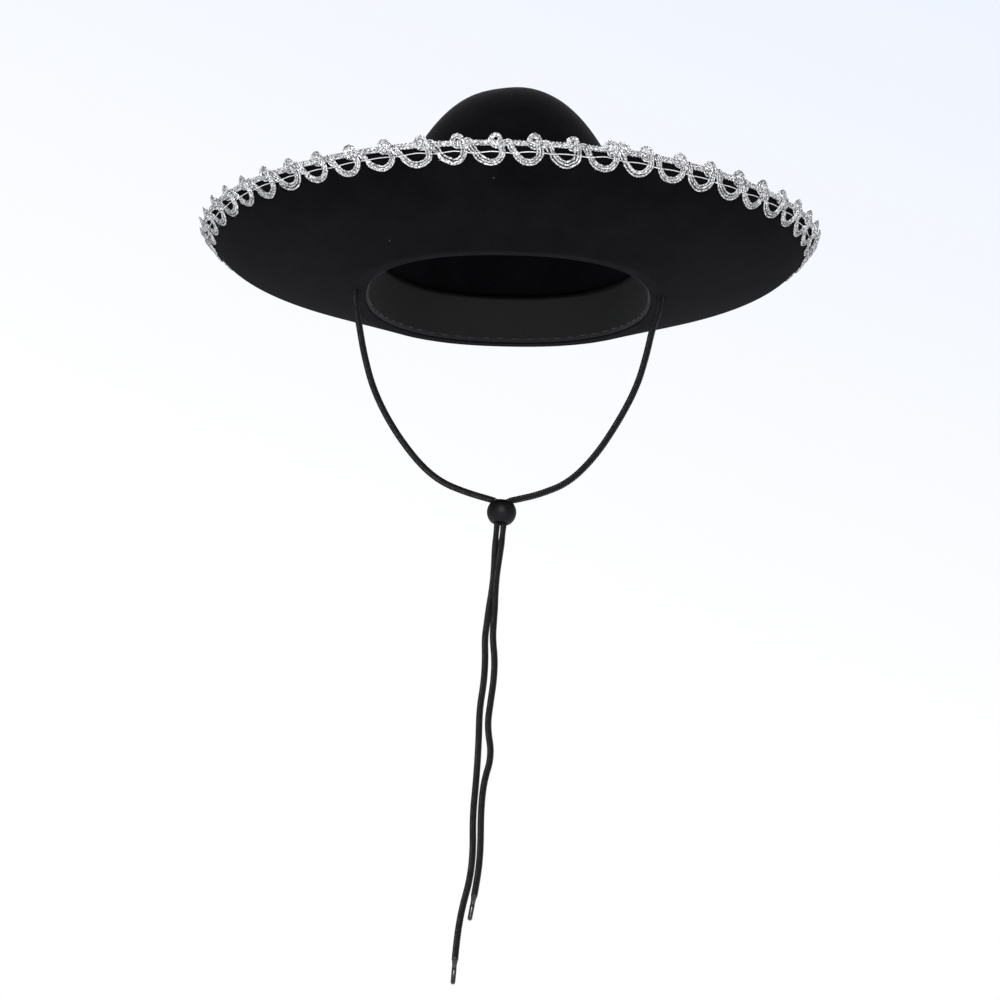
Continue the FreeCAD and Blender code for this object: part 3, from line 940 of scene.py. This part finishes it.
def apply_modifiers(piece):
    """Makes what the modifiers give the piece's own mesh."""
    graph = bpy.context.evaluated_depsgraph_get()
    mesh = bpy.data.meshes.new_from_object(piece.evaluated_get(graph))
    old = piece.data
    piece.modifiers.clear()
    piece.data = mesh
    mesh.name = old.name
    bpy.data.meshes.remove(old)


def make_crown(material):
    """The moulded dome, outside and inside, with a rounded foot."""
    count = 360
    steps = 64
    angles = (TURN * np.arange(count) / count)[None]

    def wall(inset):
        """Rings of points from the foot up."""
        height = CROWN_HEIGHT - inset
        first = math.asin(((FELT + 0.35) / height) ** (DOME_HEIGHT_POWER / 2))
        rings = []
        for i in range(steps):
            turn = first + (math.pi / 2 - first) * i / steps
            z = height * math.sin(turn) ** (2 / DOME_HEIGHT_POWER)
            point = dome_point(inset, z, angles)
            outward = unit(point * np.array([1, 1, 0.6]))
            rings.append(point + outward * soft_dent(angles, z)[..., None])
        return rings

    foot = [dome_point(inset, FELT + 0.02, angles) for inset in (0.4, FELT / 2, FELT - 0.4)]
    rings = wall(0.0)[::-1] + foot + wall(FELT)
    tip_out = dome_point(0.0, CROWN_HEIGHT, 0.0)
    tip_in = dome_point(FELT, CROWN_HEIGHT - FELT, 0.0)
    points = np.concatenate([r.reshape(-1, 3) for r in [tip_out, *rings, tip_in]])
    faces = grid_faces(len(rings), count, False, True, 1)
    faces += [[0, 1 + (j + 1) % count, 1 + j] for j in range(count)][::-1]
    last = 1 + (len(rings) - 1) * count
    faces += [[len(points) - 1, last + j, last + (j + 1) % count] for j in range(count)]
    piece = make_piece("felt_crown", points, faces, material, "hat", "crown")
    outward_faces(piece)


def outward_faces(piece):
    """Turns all faces outwards."""
    work = bmesh.new()
    work.from_mesh(piece.data)
    bmesh.ops.recalc_face_normals(work, faces=work.faces)
    work.to_mesh(piece.data)
    work.free()


# ---------------------------------------------------------------- sweatband and stitches


def make_sweatband(material):
    """A grosgrain ribbon inside the opening, with softened edges."""
    count = 720
    angles = (TURN * np.arange(count) / count)[None]
    ribs = 900
    rows = []
    heights = np.linspace(BAND_LOW, BAND_TOP, 12)
    softened = 0.12
    for inset, way, zs in ((WALL_STACK, -1, heights), (BAND_INSET, 1, heights[::-1])):
        for z in zs:
            shift = way * softened if z in (heights[0], heights[-1]) else 0.0
            rows.append(dome_point(inset + shift, z, angles))
    points = np.concatenate([r.reshape(-1, 3) for r in rows])
    faces = grid_faces(len(rows), count, True, True)
    piece = make_piece("sweatband_ribbon", points, faces, material, "hat", "sweatband")
    outward_faces(piece)
    rib = piece.data.attributes.new("rib", "FLOAT", "POINT")
    values = np.tile(np.arange(count) * (ribs * TURN / count), len(rows))
    rib.data.foreach_set("value", values.astype(np.float32))


def make_stitches(name, count, inset, side, z, material, node):
    """Short twisted threads along the wall, each with its two ends going into the felt."""
    parts = []
    steps = 13
    for i in range(count):
        middle = TURN * (i + 0.5) / count + random.normal(0, 0.0012)
        height = z + random.normal(0, 0.12)
        length = STITCH_LENGTH * random.normal(1, 0.05)
        share = np.linspace(-1, 1, steps)
        radius = float(np.linalg.norm(dome_point(inset, height, middle)[:2]))
        angle = middle + share * length / 2 / radius
        base = dome_point(inset, height, angle)
        outward = unit(base * np.array([1, 1, 0.0])) * side
        lift = 0.3 * np.sqrt(np.clip(1 - share**2, 0, 1)) - 0.12
        tilt = np.array([0, 0, 1.0]) * (share * random.normal(0, 0.12))[:, None]
        line = base + outward * lift[:, None] + tilt
        around = np.arange(8) / 8
        along = distances(line)[:, None]
        ply = 1 + 0.14 * np.cos(TURN * (2 * around[None] - along / 0.9))
        parts.append(sweep(line, outward, STITCH_RADIUS * 0.9 * ply))
    points, faces = join(parts)
    make_piece(name, points, faces, material, "hat", node)


# ---------------------------------------------------------------- silver gimp

# The bundle's way through one unit: along the rim, up the felt, out from the felt.
RIBS = [(-11.4, 0.2, 1.7), (-9.6, -2.1, 1.6), (-7.9, -4.4, 0.62)]
SCALLOP = [
    (-5.9, -7.0, 0.8),
    (-3.0, -9.1, 0.8),
    (0.2, -9.8, 0.8),
    (3.2, -9.0, 0.8),
    (5.3, -6.9, 0.85),
    (6.0, -4.5, 1.15),
    (5.6, -2.4, 1.6),
]
PICOT = [(4.9, 0.3, 2.2), (4.4, 2.7, 1.9), (2.3, 3.8, 1.3), (0.3, 2.7, 1.3), (0.1, 0.4, 1.4)]
HEADER = [(1.9, -1.3, 1.6), (4.6, -0.9, 1.4)]


def smooth_curve(points, owners, step):
    """A smooth line through all points but the first and the last two, with each sample's part."""
    pieces, owner_of = [], []
    for i, owner in enumerate(owners):
        a, b, c, d = points[i : i + 4]
        count = max(2, int(np.linalg.norm((c - b)[:2]) / step))
        t = (np.arange(count) / count)[:, None]
        bend = (2 * a - 5 * b + 4 * c - d) * t**2 + (3 * b - a - 3 * c + d) * t**3
        pieces.append((2 * b + (c - a) * t + bend) / 2)
        owner_of += [owner] * count
    return np.concatenate(pieces), owner_of


def on_felt(local):
    """Local trim coordinates (along the rim, up, out) from the trim's start to points in space."""
    angle = TURN * local[:, 0] / (UNITS * PITCH)
    return trim_point(angle, local[:, 1], local[:, 2])


def out_of_felt(local):
    """The way straight out of the felt at local points."""
    return unit(on_felt(local + np.array([0, 0, 0.5])) - on_felt(local))


def twisted(local, radius, lay, phase=0.0, depth=0.2, closed=False):
    """The rings of a cord of two twisted plies that follows a local line."""
    radius = np.reshape(radius, (-1, 1))
    line = on_felt(local)
    along = distances(line)[:, None]
    around = np.arange(GIMP_SIDES)[None] / GIMP_SIDES
    if closed:
        lay = along[-1, 0] / round(along[-1, 0] / lay)
    ply = 1 + depth * np.cos(TURN * (2 * around - along / lay) + phase)
    rough = 1 + 0.06 * random.standard_normal((len(line), 1))
    return tube_rings(line, out_of_felt(local), radius * ply * rough, closed)


def shifted(local, offset):
    """The line moved sideways along the felt."""
    direction = unit(np.gradient(local[:, :2], axis=0))
    moved = local.copy()
    moved[:, 0] -= direction[:, 1] * offset
    moved[:, 1] += direction[:, 0] * offset
    return moved


def wandering(count, spacing, spread):
    """A slow random change along a line of so many points."""
    marks = np.arange(0, count + spacing, spacing)
    return np.interp(np.arange(count), marks, random.normal(0, spread, len(marks)))


def bundle_controls():
    """The looping bundle's points for all units, uneven by hand, with the part that each begins."""
    places, owners = [], []
    for i in range(UNITS):
        stretch = -0.7 - 1.6 * math.cos(TURN * (i + FIRST_SCALLOP) / UNITS)
        centre = (i + FIRST_SCALLOP) * PITCH + stretch + random.normal(0, 0.3)
        lean, drop, swell = random.normal(0, 0.25), random.normal(0, 0.22), random.normal(1, 0.04)
        loops = [("ribs", RIBS, 0.0), ("scallop", SCALLOP, 0.0), ("picot", PICOT, 0.0)]
        if i == LAP_UNIT:
            loops.append(("picot", PICOT, LAP_SHIFT))
        for part, points, ahead in loops + [("header", HEADER, 0.0)]:
            for u, v, w in points:
                low = max(0.0, -v) / 10.7
                shift = random.normal(0, 0.12, 2)
                along = centre + ahead + u * swell + lean * low + shift[0]
                places.append((along, v + drop * low + shift[1], w))
                owners.append(part)
    return np.array(places), owners


def gimp_hairs(local):
    """Loose metallic fibres that stand out of the cords."""
    hairs = []
    share = np.linspace(0, 1, 5)[:, None]
    for start in random.integers(0, len(local), HAIRS):
        reach = random.uniform(1.2, 3.4)
        way = random.uniform(0, TURN)
        bend = random.normal(0, 0.7, 2)
        step = np.array([math.cos(way), math.sin(way), 0.25]) * reach
        curl = np.array([*bend, random.uniform(0, 0.6)])
        line = local[start] + np.array([0, 0, 0.35]) + step * share + curl * share**2
        radii = np.full((len(share), 4), HAIR_RADIUS) * (1.2 - share)
        hairs.append(sweep(on_felt(line), out_of_felt(line), radii))
    return hairs


def make_bundle():
    """The looping bundle's three cords, cut into parts, and the bundle's centre line."""
    places, owners = bundle_controls()
    round_once = np.array([[UNITS * PITCH, 0, 0]])
    whole = np.concatenate([places[-1:] - round_once, places, places[:2] + round_once])
    middle, owner_of = smooth_curve(whole, owners, 0.42)
    parts = {"ribs": [], "scallop": [], "picot": [], "header": []}
    in_picot = np.array([owner == "picot" for owner in owner_of], float)
    eased = np.convolve(np.pad(in_picot, 4, mode="edge"), np.full(9, 1 / 9), "valid")
    narrowing = 1 - PICOT_NARROWING * eased
    going_down = np.gradient(middle[:, 1]) < 0
    tied = going_down * np.exp(-(((middle[:, 1] - STAY_UP) / 0.8) ** 2))
    for k, offset in enumerate((-1, 0, 1)):
        apart = offset * CORD_APART * narrowing * (1 + wandering(len(middle), 60, 0.14))
        apart = (apart + wandering(len(middle), 45, 0.1)) * (1 - 0.3 * tied)
        local = shifted(middle, apart)
        local[:, 2] += 0.1 * (1 - abs(offset)) + wandering(len(middle), 30, 0.08)
        radius = GIMP_CORD * narrowing**0.4 * (1 - 0.15 * tied)
        rings = twisted(local, radius, 1.5 + 0.1 * k, phase=2.0 * k)
        start = 0
        for i in range(1, len(owner_of) + 1):
            if i == len(owner_of) or owner_of[i] != owner_of[start]:
                parts[owner_of[start]].append(skin(rings[start : i + 1]))
                start = i
    parts["scallop"] += gimp_hairs(middle)
    return parts, middle


def make_header():
    """Three plaited cords that run the whole way round and carry the loops."""
    length = UNITS * PITCH
    turns = round(length / 5.6)
    along = np.linspace(0, length, int(length / TRIM_STEP), endpoint=False)
    cords = []
    for k in range(3):
        swing = TURN * (turns * along / length + k / 3)
        v = -0.15 + 0.95 * np.sin(swing)
        w = 0.85 + 0.3 * np.sin(2 * swing)
        local = np.stack([along, v, w], -1)
        cords.append(skin(twisted(local, 0.6, 1.6, closed=True, phase=k), closed=True))
    return cords


def make_stay_thread(middle):
    """The thread on the felt, over each loop's left leg, which it ties, and under its right."""
    length = UNITS * PITCH
    along = np.linspace(0, length, int(length / TRIM_STEP), endpoint=False)
    above = middle[:, 1] > STAY_UP
    legs = middle[1:, 0][above[:-1] & ~above[1:]] % length
    legs = np.concatenate([legs - length, legs, legs + length])
    nearest = np.min(np.abs(along[:, None] - legs[None]), axis=1)
    over = np.clip((2.9 - nearest) / 1.2, 0, 1)
    over = over * over * (3 - 2 * over)
    marks = np.linspace(0, length, UNITS * 2 + 1)
    wander = random.normal(0, 0.22, UNITS * 2)
    phase = TURN * (along / PITCH - FIRST_SCALLOP)
    v = STAY_UP + 0.24 * np.cos(phase) + np.interp(along, marks, np.append(wander, wander[0]))
    local = np.stack([along, v, STAY_LOW + STAY_OVER * over], -1)
    return skin(twisted(local, 0.27, 1.1, depth=0.1, closed=True), closed=True)


def make_gimp(material, stay):
    """All of the edge trim."""
    parts, middle = make_bundle()
    parts["header"] += make_header()
    for part, name, node in (
        ("ribs", "gimp_rib_cords", "gimp_knots"),
        ("scallop", "gimp_scallop_cords", "gimp_scallops"),
        ("picot", "gimp_picot_cords", "gimp_picots"),
        ("header", "gimp_header_plait", "gimp_header_braid"),
    ):
        points, faces = join(parts[part])
        make_piece(name, points, faces, material, "hat", node)
    points, faces = make_stay_thread(middle)
    node = "gimp_stay_thread"
    make_piece("gimp_stay_thread_twist", points, faces, stay, "hat", node)


# ---------------------------------------------------------------- build

make_camera()
cord_finish = cord_material()
aglet_finish = aglet_material()
left_tip = make_aglet("left_tip_sleeve", "aglet_left", LEFT_ROUTE, aglet_finish)
right_tip = make_aglet("right_tip_sleeve", "aglet_right", RIGHT_ROUTE, aglet_finish)
bead = make_bead(bead_material())
left_cord, left_line = make_cord("left_braid", "chin_cord_left", LEFT_ROUTE, cord_finish)
right_cord, right_line = make_cord("right_braid", "chin_cord_right", RIGHT_ROUTE, cord_finish)
make_cord("crown_run_braid", "chin_cord_crown_run", crown_run_route(), cord_finish)

make_studio()
felt = felt_material()
thread = thread_material()
make_crown(felt)
make_brim(felt)
make_sweatband(ribbon_material())
make_stitches("seam_thread", SEAM_STITCHES, 0.0, 1, SEAM_UP, thread, "crown_seam_stitches")
make_stitches(
    "sweatband_thread", BAND_STITCHES, WALL_STACK, -1, BAND_STITCH_UP, thread, "sweatband_stitches"
)
make_gimp(gimp_material(), stay_material())
